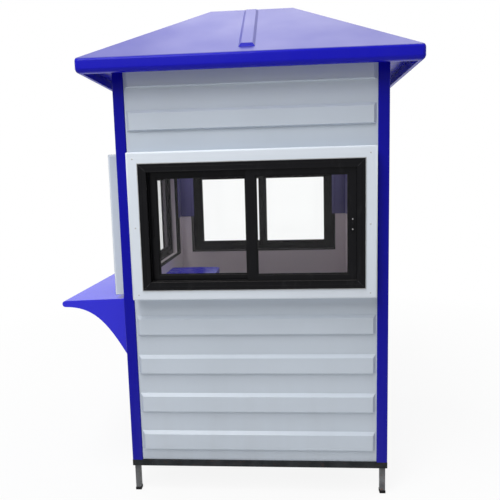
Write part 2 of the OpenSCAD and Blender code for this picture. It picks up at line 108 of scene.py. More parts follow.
class Graph:
    """Node tree of one material, with short calls for the nodes that the finishes share."""

    def __init__(self, name: str) -> None:
        """Starts an empty tree that has an output and Object coordinates.

        Args:
            name: Name of the material.
        """
        self.material: Material = bpy.data.materials.new(name)
        self.material.use_nodes = True
        self.tree = self.material.node_tree
        self.tree.nodes.clear()
        self.output = self.tree.nodes.new("ShaderNodeOutputMaterial")
        self.place: NodeSocket = self.tree.nodes.new("ShaderNodeTexCoord").outputs["Object"]

    def node(self, kind: str, **settings: object) -> bpy.types.Node:
        """Adds a node.

        Args:
            kind: Blender's name for the node type.
            settings: Properties to set on it.

        Returns:
            The new node.
        """
        made = self.tree.nodes.new(kind)
        for name, value in settings.items():
            setattr(made, name, value)
        return made

    def feed(self, socket: NodeSocket, value: object) -> None:
        """Links a socket, or sets its constant.

        Args:
            socket: Input to fill.
            value: Another node's output, or a plain value.
        """
        if isinstance(value, NodeSocket):
            self.tree.links.new(value, socket)
        else:
            socket.default_value = value

    def noise(self, scale: float, detail: float = 3, stretch: Sequence[float] = (1, 1, 1)) -> NodeSocket:
        """Adds smooth noise over Object coordinates.

        Args:
            scale: Patches per metre.
            detail: Octaves of finer noise.
            stretch: Scale of the pattern along each axis.

        Returns:
            The noise, about 0.2 to 0.8.
        """
        spread = self.node("ShaderNodeMapping")
        spread.inputs["Scale"].default_value = stretch
        self.feed(spread.inputs["Vector"], self.place)
        made = self.node("ShaderNodeTexNoise")
        made.inputs["Scale"].default_value = scale
        made.inputs["Detail"].default_value = detail
        self.feed(made.inputs["Vector"], spread.outputs["Vector"])
        return made.outputs["Fac"]

    def flecks(self, scale: float) -> NodeSocket:
        """Adds small cells of random grey.

        Args:
            scale: Cells per metre.

        Returns:
            A random value for each cell.
        """
        made = self.node("ShaderNodeTexVoronoi")
        made.inputs["Scale"].default_value = scale
        self.feed(made.inputs["Vector"], self.place)
        return made.outputs["Color"]

    def span(self, value: NodeSocket, low: float, high: float, to_low: float, to_high: float) -> NodeSocket:
        """Maps one range to another, clamped.

        Args:
            value: Socket to map.
            low: Value that gives to_low.
            high: Value that gives to_high.
            to_low: Result at low.
            to_high: Result at high.

        Returns:
            The mapped value.
        """
        made = self.node("ShaderNodeMapRange")
        self.feed(made.inputs["Value"], value)
        for name, number in zip(("From Min", "From Max", "To Min", "To Max"), (low, high, to_low, to_high)):
            made.inputs[name].default_value = number
        return made.outputs["Result"]

    def times(self, a: NodeSocket, b: NodeSocket) -> NodeSocket:
        """Multiplies two values."""
        made = self.node("ShaderNodeMath", operation="MULTIPLY")
        self.feed(made.inputs[0], a)
        self.feed(made.inputs[1], b)
        return made.outputs[0]

    def blend(self, share: NodeSocket, first: object, second: object) -> NodeSocket:
        """Mixes two colours.

        Args:
            share: Share of the second colour.
            first: Colour or socket at share 0.
            second: Colour or socket at share 1.

        Returns:
            The mixed colour.
        """
        made = self.node("ShaderNodeMix", data_type="RGBA")
        self.feed(made.inputs["Factor"], share)
        colours = [s for s in made.inputs if s.type == "RGBA"]
        for socket, colour in zip(colours, (first, second)):
            self.feed(socket, colour if isinstance(colour, NodeSocket) else (*colour, 1))
        return next(s for s in made.outputs if s.type == "RGBA")

    def axis(self, name: str) -> NodeSocket:
        """Splits Object coordinates and gives one of X, Y and Z."""
        split = self.node("ShaderNodeSeparateXYZ")
        self.feed(split.inputs[0], self.place)
        return split.outputs[name]

    def facing_up(self) -> NodeSocket:
        """Gives how much a face looks upwards, from -1 to 1."""
        split = self.node("ShaderNodeSeparateXYZ")
        self.feed(split.inputs[0], self.node("ShaderNodeNewGeometry").outputs["True Normal"])
        return split.outputs["Z"]

    def bump(self, *layers: tuple[NodeSocket, float]) -> NodeSocket:
        """Stacks bump layers.

        Args:
            layers: A height pattern and its depth in metres, for each layer.

        Returns:
            The bumped normal.
        """
        normal = None
        for height, depth in layers:
            made = self.node("ShaderNodeBump")
            made.inputs["Strength"].default_value = 1
            made.inputs["Distance"].default_value = depth
            self.feed(made.inputs["Height"], height)
            if normal is not None:
                self.feed(made.inputs["Normal"], normal)
            normal = made.outputs["Normal"]
        return normal

    def surface(self, **sockets: object) -> bpy.types.Node:
        """Adds a Principled shader and shows it.

        Args:
            sockets: Values for its inputs, with _ in place of spaces.

        Returns:
            The shader node.
        """
        shader = self.node("ShaderNodeBsdfPrincipled")
        for name, value in sockets.items():
            self.feed(shader.inputs[name.replace("_", " ")], value)
        self.feed(self.output.inputs["Surface"], shader.outputs["BSDF"])
        return shader


@dataclass(frozen=True)
class Gelcoat:
    """Glossy resin skin of a fibreglass moulding, with slow tone drift, dust low down and a paler top that is
    partly real oxidation and partly a painted sheen.
    """

    name: str
    colour: Colour
    # Pale colour of up-facing faces and its share: partly real oxidation, partly a painted sheen of the sky.
    chalk_and_sheen: Colour
    chalk_and_sheen_share: float
    grime_share: float
    smooth: float = 0.23
    dull: float = 0.27
    shine: float = 0.5

    def material(self) -> Material:
        """Builds the finish."""
        g = Graph(self.name)
        drift = g.span(g.noise(1.7, 2), 0.3, 0.7, 0.0, 1.0)
        deep = tuple(c * 0.97 for c in self.colour)
        light = tuple(min(1.0, c * 1.03) for c in self.colour)
        tone = g.blend(drift, deep, light)
        # Up-facing faces blend towards a pale colour: partly real oxidation of the gelcoat, partly a painted
        # sheen of the bright sky.
        chalk_and_sheen_mask = g.span(g.facing_up(), 0.35, 0.85, 0.0, self.chalk_and_sheen_share)
        patches = g.span(g.noise(3.0, 3, (1, 1, 0.6)), 0.25, 0.75, 0.1, 1.0)
        tone = g.blend(g.times(chalk_and_sheen_mask, patches), tone, self.chalk_and_sheen)
        splash = g.span(g.axis("Z"), 0.15, 0.75, self.grime_share, self.grime_share * 0.12)
        runs = g.span(g.noise(11.0, 4, (1, 1, 0.09)), 0.42, 0.72, 0.0, 1.0)
        tone = g.blend(g.times(splash, runs), tone, MUD)
        gloss = g.span(g.noise(3.0, 2), 0.3, 0.7, self.smooth, self.dull)
        g.surface(
            Base_Color=tone, Roughness=gloss, IOR=1.5, Specular_IOR_Level=self.shine,
            Normal=g.bump((g.noise(2.5, 1), 0.7 * MM), (g.noise(30.0, 1), 0.008 * MM)),
        )
        return g.material


@dataclass(frozen=True)
class PowderCoat:
    """Satin powder coat on aluminium, with a fine grain and faint rubbed streaks."""

    name: str
    colour: Colour
    rubbed: Colour

    def material(self) -> Material:
        """Builds the finish."""
        g = Graph(self.name)
        streaks = g.span(g.noise(38.0, 6, (1, 1, 0.25)), 0.56, 0.74, 0.0, 0.55)
        tone = g.blend(streaks, self.colour, self.rubbed)
        dust = g.span(g.facing_up(), 0.5, 0.95, 0.0, 0.16)
        tone = g.blend(dust, tone, DUST)
        gloss = g.span(g.noise(26.0, 4), 0.3, 0.7, 0.20, 0.265)
        g.surface(
            Base_Color=tone, Roughness=gloss, IOR=1.5, Specular_IOR_Level=0.09,
            Normal=g.bump((g.noise(1400.0, 2), 0.01 * MM), (g.noise(12.0, 2), 0.05 * MM)),
        )
        return g.material


@dataclass(frozen=True)
class PaintedSteel:
    """Brushed-on paint over steel, with dull patches, chips and rust that creeps up from the ground."""

    name: str
    colour: Colour
    worn: Colour
    rust_share: float
    shine: float = 0.5

    def material(self) -> Material:
        """Builds the finish."""
        g = Graph(self.name)
        tone = g.blend(g.span(g.noise(22.0, 5), 0.35, 0.7, 0.0, 1.0), self.colour, self.worn)
        chips = g.span(g.noise(70.0, 6), 0.60, 0.66, 0.0, 1.0)
        low = g.span(g.axis("Z"), 0.0, 0.16, self.rust_share, self.rust_share * 0.25)
        tone = g.blend(g.times(chips, low), tone, RUST)
        gloss = g.span(g.noise(30.0, 4), 0.3, 0.7, 0.38, 0.62)
        g.surface(
            Base_Color=tone, Roughness=gloss, IOR=1.5, Specular_IOR_Level=self.shine,
            Normal=g.bump((chips, -0.12 * MM), (g.noise(240.0, 3, (1, 1, 0.5)), 0.06 * MM)),
        )
        return g.material


@dataclass(frozen=True)
class FloatGlass:
    """Clear pane with a faint film of dust and wiping marks, which lets lamp light through."""

    name: str
    tint: Colour
    film: float
    index: float = 1.2
    dust: Colour = (0.62, 0.60, 0.58)

    def material(self) -> Material:
        """Builds the finish."""
        g = Graph(self.name)
        pane = g.node("ShaderNodeBsdfPrincipled")
        pane.inputs["Base Color"].default_value = (*self.tint, 1)
        pane.inputs["Roughness"].default_value = 0.0
        pane.inputs["IOR"].default_value = self.index
        pane.inputs["Transmission Weight"].default_value = 1
        dust = g.node("ShaderNodeBsdfDiffuse")
        dust.inputs["Color"].default_value = (*self.dust, 1)
        wiped = g.times(
            g.span(g.noise(3.2, 5), 0.4, 0.75, 0.15, 1.0),
            g.span(g.noise(30.0, 4, (1, 1, 0.18)), 0.35, 0.75, 0.2, self.film),
        )
        smeared = g.node("ShaderNodeMixShader")
        g.feed(smeared.inputs["Fac"], g.span(wiped, 0.0, 1.0, 0.0, self.film))
        g.feed(smeared.inputs[1], pane.outputs["BSDF"])
        g.feed(smeared.inputs[2], dust.outputs["BSDF"])
        passing = g.node("ShaderNodeBsdfTransparent")
        passing.inputs["Color"].default_value = (*self.tint, 1)
        ray = g.node("ShaderNodeLightPath")
        lit = g.node("ShaderNodeMath", operation="MAXIMUM")
        g.feed(lit.inputs[0], ray.outputs["Is Shadow Ray"])
        g.feed(lit.inputs[1], ray.outputs["Is Diffuse Ray"])
        whole = g.node("ShaderNodeMixShader")
        g.feed(whole.inputs["Fac"], lit.outputs[0])
        g.feed(whole.inputs[1], smeared.outputs["Shader"])
        g.feed(whole.inputs[2], passing.outputs["BSDF"])
        g.feed(g.output.inputs["Surface"], whole.outputs["Shader"])
        return g.material


@dataclass(frozen=True)
class FleckedVinyl:
    """Matt sheet floor with small flecks and scuffs."""

    name: str
    dark: Colour
    light: Colour

    def material(self) -> Material:
        """Builds the finish."""
        g = Graph(self.name)
        split = g.node("ShaderNodeSeparateColor")
        g.feed(split.inputs[0], g.flecks(220.0))
        tone = g.blend(split.outputs[0], self.dark, self.light)
        scuffs = g.span(g.noise(9.0, 6), 0.52, 0.75, 0.0, 0.5)
        tone = g.blend(scuffs, tone, tuple(c * 0.6 for c in self.dark))
        gloss = g.span(g.noise(18.0, 4), 0.3, 0.7, 0.42, 0.62)
        g.surface(Base_Color=tone, Roughness=gloss, Normal=g.bump((g.noise(300.0, 2), 0.08 * MM)))
        return g.material


@dataclass(frozen=True)
class BrightMetal:
    """Plated metal with faint haze and hairline scratches."""

    name: str
    colour: Colour
    smooth: float
    dull: float

    def material(self) -> Material:
        """Builds the finish."""
        g = Graph(self.name)
        hairlines = g.noise(420.0, 3, (0.06, 0.06, 1))
        tone = g.blend(
            g.span(g.noise(30.0, 4), 0.35, 0.75, 0.0, 0.6), self.colour, tuple(c * 0.8 for c in self.colour)
        )
        gloss = g.span(g.noise(24.0, 5), 0.3, 0.7, self.smooth, self.dull)
        g.surface(Base_Color=tone, Metallic=1.0, Roughness=gloss, Normal=g.bump((hairlines, 0.01 * MM)))
        return g.material


@dataclass(frozen=True)
class SoftSeal:
    """Rubber or silicone strip, matt and slightly lumpy."""

    name: str
    colour: Colour
    dusty: Colour
    roughness: float
    shine: float = 0.15

    def material(self) -> Material:
        """Builds the finish."""
        g = Graph(self.name)
        tone = g.blend(g.span(g.noise(34.0, 5), 0.4, 0.75, 0.0, 0.7), self.colour, self.dusty)
        gloss = g.span(g.noise(50.0, 3), 0.3, 0.7, self.roughness - 0.08, self.roughness + 0.08)
        g.surface(
            Base_Color=tone, Roughness=gloss, Specular_IOR_Level=self.shine,
            Normal=g.bump((g.noise(160.0, 3), 0.15 * MM)),
        )
        return g.material


class Finishes:
    """All materials of the booth, made once."""

    def __init__(self) -> None:
        """Builds every finish."""
        self.white = Gelcoat(
            "white_gelcoat", (0.58, 0.64, 0.715), (0.70, 0.71, 0.72), 0.10, 0.08, shine=0.3
        ).material()
        # Lighter copy of the white gelcoat: painted light for the brighter face of the window box.
        self.box = Gelcoat(
            "window_box_lit_gelcoat", (0.71, 0.765, 0.835), (0.80, 0.81, 0.82), 0.10, 0.08, shine=0.3
        ).material()
        self.blue = Gelcoat(
            "blue_gelcoat", (0.006, 0.0055, 0.42), (0.33, 0.33, 0.66), 0.04, 0.06, shine=0.13
        ).material()
        # Roof slopes: the pale up-facing blend is partly real oxidation and partly a painted sheen of the
        # sky.
        self.roof = Gelcoat(
            "roof_gelcoat", (0.012, 0.0115, 0.265), (0.38, 0.38, 0.62), 0.22, 0.0, 0.285, 0.35, shine=0.38
        ).material()
        # Darker copy of the blue gelcoat: painted shade on the posts.
        self.post = Gelcoat(
            "post_shaded_gelcoat", (0.006, 0.0055, 0.34), (0.33, 0.33, 0.66), 0.04, 0.06, shine=0.08
        ).material()
        # Lighter copy of the blue gelcoat with a pale top: painted light and a painted sheen on the counter.
        self.counter = Gelcoat(
            "counter_lit_gelcoat", (0.024, 0.022, 0.68), (0.36, 0.36, 0.70), 0.10, 0.0, shine=0.28
        ).material()
        self.strip = Gelcoat(
            "blue_lining_strip", (0.11, 0.10, 0.27), (0.20, 0.19, 0.40), 0.1, 0.1, 0.38, 0.50
        ).material()
        self.lining = Gelcoat(
            "mauve_lining", (0.60, 0.535, 0.57), (0.62, 0.58, 0.60), 0.1, 0.1, 0.38, 0.55
        ).material()
        self.black = PowderCoat(
            "black_powder_coat", (0.0055, 0.0055, 0.0068), (0.014, 0.014, 0.0155)
        ).material()
        self.base = PaintedSteel(
            "black_base_paint", (0.014, 0.016, 0.018), (0.030, 0.033, 0.036), 0.5, 0.12
        ).material()
        self.leg = PaintedSteel(
            "grey_leg_paint", (0.085, 0.088, 0.092), (0.17, 0.175, 0.18), 0.9, 0.3
        ).material()
        self.glass = FloatGlass("clear_float_glass", (0.98, 0.985, 0.985), 0.03).material()
        self.floor = FleckedVinyl("grey_flecked_vinyl", (0.12, 0.12, 0.125), (0.20, 0.20, 0.205)).material()
        self.chrome = BrightMetal("plated_handle", (0.62, 0.63, 0.65), 0.10, 0.22).material()
        self.zinc = BrightMetal("zinc_screw", (0.50, 0.50, 0.50), 0.28, 0.45).material()
        self.rubber = SoftSeal(
            "black_rubber", (0.008, 0.008, 0.009), (0.035, 0.034, 0.033), 0.62
        ).material()
        self.joint = SoftSeal("joint_line", (0.045, 0.045, 0.048), (0.07, 0.07, 0.072), 0.45).material()
        self.sealant = SoftSeal(
            "grey_white_sealant", (0.50, 0.52, 0.54), (0.40, 0.39, 0.37), 0.40
        ).material()


def add_piece(name: str, mesh: Mesh, material: Material, slot: str, *nodes: str) -> Object:
    """Puts a finished mesh in the scene as a piece of the booth.

    Args:
        name: Name of the piece.
        mesh: Mesh with its place in its vertices.
        material: Finish of the whole piece.
        slot: The record's material slot; not used.
        nodes: CAD nodes that the piece stands for.

    Returns:
        The new object.
    """
    mesh.materials.clear()
    mesh.materials.append(material)
    piece = bpy.data.objects.new(name, mesh)
    bpy.context.scene.collection.objects.link(piece)
    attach(piece, BODY)
    if nodes:
        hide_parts(*nodes)
    LOG.info("%s: %d faces", name, len(mesh.polygons))
    return piece


def smooth_mesh(bm: bmesh.types.BMesh, name: str) -> Mesh:
    """Turns a bmesh into a mesh that is smooth apart from its sharp edges.

    Args:
        bm: The shape, which is freed.
        name: Name of the mesh.

    Returns:
        The new mesh.
    """
    for face in bm.faces:
        face.smooth = True
    mesh = bpy.data.meshes.new(name)
    bm.to_mesh(mesh)
    bm.free()
    mesh.set_sharp_from_angle(angle=SHARP)
    return mesh


def sharp_edges(bm: bmesh.types.BMesh, least: float = 0.0) -> list[bmesh.types.BMEdge]:
    """Finds the edges of a closed shape that are sharp.

    Args:
        bm: The shape.
        least: Length of the shortest edge to take.

    Returns:
        The edges.
    """
    return [
        e for e in bm.edges
        if len(e.link_faces) == 2 and e.calc_length() >= least and e.calc_face_angle() > SHARP
    ]


def soften(
    node: str, edge: float, least: float = 12 * MM, segments: int = 3,
    first: Callable[[Vector], bool] | None = None, first_edge: float = 0.0,
) -> Mesh:
    """Copies a CAD node's mesh and rounds its sharp edges.

    Args:
        node: Name of the CAD node.
        edge: Width of the rounding.
        least: Shortest edge that is rounded.
        segments: Steps across the rounding.
        first: Test for the ends of the edges that get a wider rounding before the rest.
        first_edge: Width of that rounding.

    Returns:
        The rounded mesh.
    """
    bm = bmesh.new()
    bm.from_mesh(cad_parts[node].data)
    bmesh.ops.remove_doubles(bm, verts=bm.verts, dist=WELD)
    bmesh.ops.dissolve_limit(bm, angle_limit=FLAT, verts=bm.verts, edges=bm.edges)
    if first:
        bmesh.ops.bevel(
            bm, geom=[e for e in sharp_edges(bm) if all(first(v.co) for v in e.verts)], offset=first_edge,
            offset_type="OFFSET", segments=WIDE_STEPS, profile=0.5, affect="EDGES", clamp_overlap=False,
            material=-1,
        )
    bmesh.ops.bevel(
        bm, geom=sharp_edges(bm, least), offset=edge, offset_type="OFFSET", segments=segments, profile=0.5,
        affect="EDGES", clamp_overlap=True, material=-1,
    )
    bmesh.ops.dissolve_degenerate(bm, dist=WELD, edges=bm.edges)
    return smooth_mesh(bm, node)


def finish_node(node: str, material: Material, slot: str, edge: float, **rounding: object) -> Object:
    """Replaces a CAD node with its rounded copy in a finish.

    Args:
        node: Name of the CAD node.
        material: Finish of the piece.
        slot: The record's material slot.
        edge: Width of the rounding.
        rounding: Other settings of soften.

    Returns:
        The new object.
    """
    piece = add_piece(f"{node}_moulded", soften(node, edge, **rounding), material, slot, node)
    even = piece.modifiers.new("even_normals", "WEIGHTED_NORMAL")
    even.keep_sharp = True
    return piece


class Shape:
    """One mesh of small fittings, drawn for the front and turned to its side at the end."""

    def __init__(self, name: str) -> None:
        """Starts an empty shape.

        Args:
            name: Name of the piece to come.
        """
        self.name = name
        self.bm = bmesh.new()

    def rounded(self, part: bmesh.types.BMesh, edge: float, segments: int = 2) -> None:
        """Rounds a closed shape's edges and joins it to the rest.

        Args:
            part: The shape, which is freed.
            edge: Width of the rounding.
            segments: Steps across the rounding.
        """
        bmesh.ops.recalc_face_normals(part, faces=part.faces)
        if edge:
            bmesh.ops.bevel(
                part, geom=sharp_edges(part), offset=edge, offset_type="OFFSET", segments=segments,
                profile=0.5, affect="EDGES", clamp_overlap=True, material=-1,
            )
        loose = bpy.data.meshes.new("loose")
        part.to_mesh(loose)
        part.free()
        self.bm.from_mesh(loose)
        bpy.data.meshes.remove(loose)

    def block(self, low: Sequence[float], high: Sequence[float], edge: float) -> None:
        """Adds a rounded block between two corners.

        Args:
            low: Lowest corner.
            high: Highest corner.
            edge: Width of the rounding.
        """
        size = Vector(high) - Vector(low)
        middle = (Vector(high) + Vector(low)) / 2
        part = bmesh.new()
        bmesh.ops.create_cube(part, size=1, matrix=Matrix.Translation(middle) @ Matrix.Diagonal((*size, 1)))
        self.rounded(part, edge)

    def ring(self, low: Sequence[float], high: Sequence[float], width: float, edge: float) -> None:
        """Adds an upright rectangular ring with mitred corners.

        Args:
            low: Lowest corner, with the front face's y.
            high: Highest corner, with the back face's y.
            width: Width of the ring's bars.
            edge: Width of the rounding.
        """
        low, high = Vector(low), Vector(high)
        part = bmesh.new()
        stand = Matrix.Translation(((low.x + high.x) / 2, high.y, (low.z + high.z) / 2))
        stand = stand @ Matrix.Rotation(math.pi / 2, 4, "X")
        stand = stand @ Matrix.Diagonal(((high.x - low.x) / 2, (high.z - low.z) / 2, 1, 1))
        bmesh.ops.create_grid(part, x_segments=1, y_segments=1, size=1, matrix=stand)
        inner = list(part.faces)
        bmesh.ops.inset_region(part, faces=inner, thickness=width, use_boundary=True, use_even_offset=True)
        bmesh.ops.delete(part, geom=inner, context="FACES")
        grown = bmesh.ops.extrude_face_region(part, geom=list(part.faces))
        moved = [v for v in grown["geom"] if isinstance(v, bmesh.types.BMVert)]
        bmesh.ops.translate(part, verts=moved, vec=(0, low.y - high.y, 0))
        self.rounded(part, edge)

    def round_bar(
        self, start: Sequence[float], end: Sequence[float], radius: float, edge: float, sides: int = 24
    ) -> None:
        """Adds a round bar between two points.

        Args:
            start: Centre of one end.
            end: Centre of the other end.
            radius: Radius of the bar.
            edge: Width of the rounding at both ends.
            sides: Sides of the bar.
        """
        start, end = Vector(start), Vector(end)
        along = end - start
        part = bmesh.new()
        stand = Matrix.Translation((start + end) / 2) @ along.to_track_quat("Z", "Y").to_matrix().to_4x4()
        bmesh.ops.create_cone(
            part, cap_ends=True, segments=sides, radius1=radius, radius2=radius, depth=along.length,
            matrix=stand,
        )
        self.rounded(part, edge, 3)

    def screw(self, centre: Sequence[float], radius: float, rise: float) -> None:
        """Adds a domed screw head that faces outwards along -y.

        Args:
            centre: Point on the surface that it sits on.
            radius: Radius of the head.
            rise: Height of the head.
        """
        centre = Vector(centre)
        part = bmesh.new()
        bmesh.ops.create_uvsphere(part, u_segments=16, v_segments=8, radius=radius)
        under = [v for v in part.verts if v.co.z < -WELD]
        bmesh.ops.delete(part, geom=under, context="VERTS")
        rim = [e for e in part.edges if e.is_boundary]
        bmesh.ops.contextual_create(part, geom=rim)
        stand = Matrix.Translation(centre) @ Matrix.Rotation(math.pi / 2, 4, "X")
        stand = stand @ Matrix.Diagonal((1, 1, rise / radius, 1))
        bmesh.ops.transform(part, matrix=stand, verts=part.verts)
        self.rounded(part, 0)

    def place(self, side: Side, material: Material, slot: str) -> Object:
        """Turns the shape to its side and adds it as a piece.

        Args:
            side: Side of the booth.
            material: Finish.
            slot: The record's material slot.

        Returns:
            The new object.
        """
        bmesh.ops.transform(self.bm, matrix=side.turn, verts=self.bm.verts)
        return add_piece(self.name, smooth_mesh(self.bm, self.name), material, slot)


def glaze(node: str, finishes: Finishes) -> None:
    """Gives a CAD pane its finish.

    Args:
        node: Name of the pane's node.
        finishes: Materials of the booth.
    """
    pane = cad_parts[node]
    pane.data.materials.clear()
    pane.data.materials.append(finishes.glass)
    LOG.info("%s", node)


@dataclass(frozen=True)
class GlazingSeal:
    """Rubber round both faces of a pane, where it leaves its seat."""

    seat: float = 7.7 * MM
    width: float = 5 * MM
    proud: float = 1.5 * MM
    edge: float = 0.6 * MM

    def build(self, name: str, pane: str, side: Side, finishes: Finishes) -> None:
        """Adds the rubber.

        Args:
            name: Name of the piece.
            pane: Name of the pane's node.
            side: Side of the booth.
            finishes: Materials of the booth.
        """
        low, high = side.box(pane)
        inset = Vector((self.seat, 0, self.seat))
        low, high = low + inset, high - inset
        seal = Shape(name)
        for front, back in ((low.y - self.proud, low.y), (high.y, high.y + self.proud)):
            seal.ring((low.x, front, low.z), (high.x, back, high.z), self.width, self.edge)
        seal.place(side, finishes.rubber, "black_frame")


@dataclass
class Base:
    """Steel base: legs, rails, the feet's plugs and the floor."""

    edge: float = 1.5 * MM
    floor_edge: float = 1 * MM
    plug_h: float = 14 * MM
    plug_lip: float = 1.5 * MM
    plug_edge: float = 1.2 * MM
    bolt_r: float = 6 * MM
    bolt_rise: float = 4 * MM
    bolt_sink: float = 1 * MM
    bolt_edge: float = 1 * MM
    bolt_inset: float = 100 * MM
    bolt_sides: int = 6

    def build(self, finishes: Finishes) -> None:
        """Dresses the base.

        Args:
            finishes: Materials of the booth.
        """
        for end in ("front", "back"):
            for hand in ("left", "right"):
                node = f"{end}_{hand}_leg"
                finish_node(node, finishes.leg, "leg_steel", self.edge)
                low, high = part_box(node)
                plug = Shape(f"{end}_{hand}_foot_plug")
                lip = Vector((self.plug_lip, self.plug_lip, 0))
                plug.block(low - lip, Vector((high.x, high.y, low.z + self.plug_h)) + lip, self.plug_edge)
                plug.place(Side.FRONT, finishes.rubber, "base_steel")
        for side in Side:
            finish_node(f"{side.label}_base_rail", finishes.base, "base_steel", self.edge)
            self.bolts(side, finishes)
        finish_node("floor_panel", finishes.floor, "floor_board", self.floor_edge)

    def bolts(self, side: Side, finishes: Finishes) -> None:
        """Adds the bolt heads that hold the posts' feet to one rail.

        Args:
            side: Side of the rail.
            finishes: Materials of the booth.
        """
        low, high = side.box(f"{side.label}_base_rail")
        heads = Shape(f"{side.label}_rail_bolts")
        middle = (low.z + high.z) / 2
        for x in (low.x + self.bolt_inset, 0.0, high.x - self.bolt_inset):
            heads.round_bar(
                (x, low.y + self.bolt_sink, middle), (x, low.y - self.bolt_rise, middle), self.bolt_r,
                self.bolt_edge, self.bolt_sides,
            )
        heads.place(side, finishes.base, "base_steel")


@dataclass
class Shell:
    """Mouldings of the body: walls, posts, ceiling, counter and table."""

    wall_edge: float = 2.5 * MM
    post_edge: float = 1.5 * MM
    ceiling_edge: float = 1 * MM
    counter_edge: float = 2.5 * MM
    table_edge: float = 4 * MM
    frame_depth: float = 55 * MM
    box_depth: float = 35 * MM
    reveal_half: float = 0.5
    sill: float = 0.8
    lintel: float = 0.3
    trim_w: float = 6 * MM
    trim_t: float = 2 * MM
    trim_depth: float = 24 * MM
    trim_in: float = 5 * MM
    trim_edge: float = 1.5 * MM
    lining_w: float = 90 * MM
    lining_t: float = 2 * MM
    lining_gap: float = 0.2 * MM
    lining_edge: float = 0.6 * MM
    lining_from: float = 1.26
    screw_r: float = 3.5 * MM
    screw_rise: float = 1.6 * MM
    screw_inset: float = 22 * MM

    def build(self, finishes: Finishes) -> None:
        """Dresses the body.

        Args:
            finishes: Materials of the booth.
        """
        for side in Side:
            wall = finish_node(f"{side.label}_wall", finishes.white, "white_moulding", self.wall_edge)
            self.part_finishes(wall, side, finishes)
        for end in ("front", "back"):
            for hand in ("left", "right"):
                finish_node(f"{end}_{hand}_post", finishes.post, "blue_moulding", self.post_edge)
        finish_node("ceiling_panel", finishes.lining, "white_moulding", self.ceiling_edge)
        finish_node("service_counter", finishes.counter, "blue_moulding", self.counter_edge)
        finish_node("writing_table", finishes.blue, "blue_moulding", self.table_edge)
        for side in WINDOW_SIDES:
            self.box_screws(side, finishes)
            self.inner_trim(side, finishes)
        self.corner_lining(finishes)

    def part_finishes(self, wall: Object, side: Side, finishes: Finishes) -> None:
        """Gives a wall's face in the room, its reveal and its window box their own finishes; the box's finish
        is a lighter copy of the white, a painted light on its face.

        Args:
            wall: The wall's piece.
            side: Side of the wall.
            finishes: Materials of the booth.
        """
        wall.data.materials.append(finishes.lining)
        wall.data.materials.append(finishes.box)
        low, high = side.box(f"{side.label}_wall")
        drawn = side.turn.inverted()
        for face in wall.data.polygons:
            centre, normal = drawn @ face.center, drawn @ face.normal
            in_room = centre.y > high.y - self.lining_t and normal.y > FACING
            in_reveal = (
                side in WINDOW_SIDES and abs(normal.y) < SIDEWAYS and centre.y > low.y + self.frame_depth
                and abs(centre.x) < self.reveal_half and low.z + self.sill < centre.z < high.z - self.lintel
            )
            if in_room or in_reveal:
                face.material_index = 1
            # The window box's front takes the lighter copy of the white, a painted light.
            elif side in WINDOW_SIDES and centre.y < low.y + self.box_depth:
                face.material_index = 2

    def box_screws(self, side: Side, finishes: Finishes) -> None:
        """Adds the screws through the face of a window box.

        Args:
            side: Side of the box.
            finishes: Materials of the booth.
        """
        low, high = side.box(f"{side.label}_window_frame")
        face_y = low.y + FLANGE_T
        screws = Shape(f"{side.label}_box_screws")
        for x in (low.x - self.screw_inset, high.x + self.screw_inset):
            for z in (low.z - self.screw_inset, (low.z + high.z) / 2, high.z + self.screw_inset):
                screws.screw((x, face_y, z), self.screw_r, self.screw_rise)
        screws.place(side, finishes.zinc, "handle_metal")

    def inner_trim(self, side: Side, finishes: Finishes) -> None:
        """Adds the black channel that edges a window's opening in the room.

        Args:
            side: Side of the window.
            finishes: Materials of the booth.
        """
        low, high = side.box(f"{side.label}_window_frame")
        wall_y = side.box(f"{side.label}_wall")[1].y
        edging = Shape(f"{side.label}_window_inner_trim")
        inset = self.trim_in
        edging.ring(
            (low.x + inset, wall_y - self.trim_depth, low.z + inset),
            (high.x - inset, wall_y + self.trim_t, high.z - inset), self.trim_w, self.trim_edge,
        )
        edging.place(side, finishes.rubber, "black_frame")

    def corner_lining(self, finishes: Finishes) -> None:
        """Adds the blue angle strips in the room's corners.

        Args:
            finishes: Materials of the booth.
        """
        low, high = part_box("floor_panel")
        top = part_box("ceiling_panel")[0].z
        for x, hand in ((low.x, "left"), (high.x, "right")):
            for y, end in ((low.y, "front"), (high.y, "back")):
                strip = Shape(f"{end}_{hand}_corner_lining")
                inward = Vector((-math.copysign(1, x), -math.copysign(1, y), 0))
                wide, thick = self.lining_w, self.lining_t
                for start, reach in ((0.0, (wide, thick)), (thick + self.lining_gap, (thick, wide))):
                    far = Vector((x + inward.x * reach[0], y + inward.y * reach[1], top))
                    near = Vector((x, y + inward.y * start, self.lining_from))
                    strip.block(Vector(map(min, near, far)), Vector(map(max, near, far)), self.lining_edge)
                strip.place(Side.FRONT, finishes.strip, "blue_moulding")


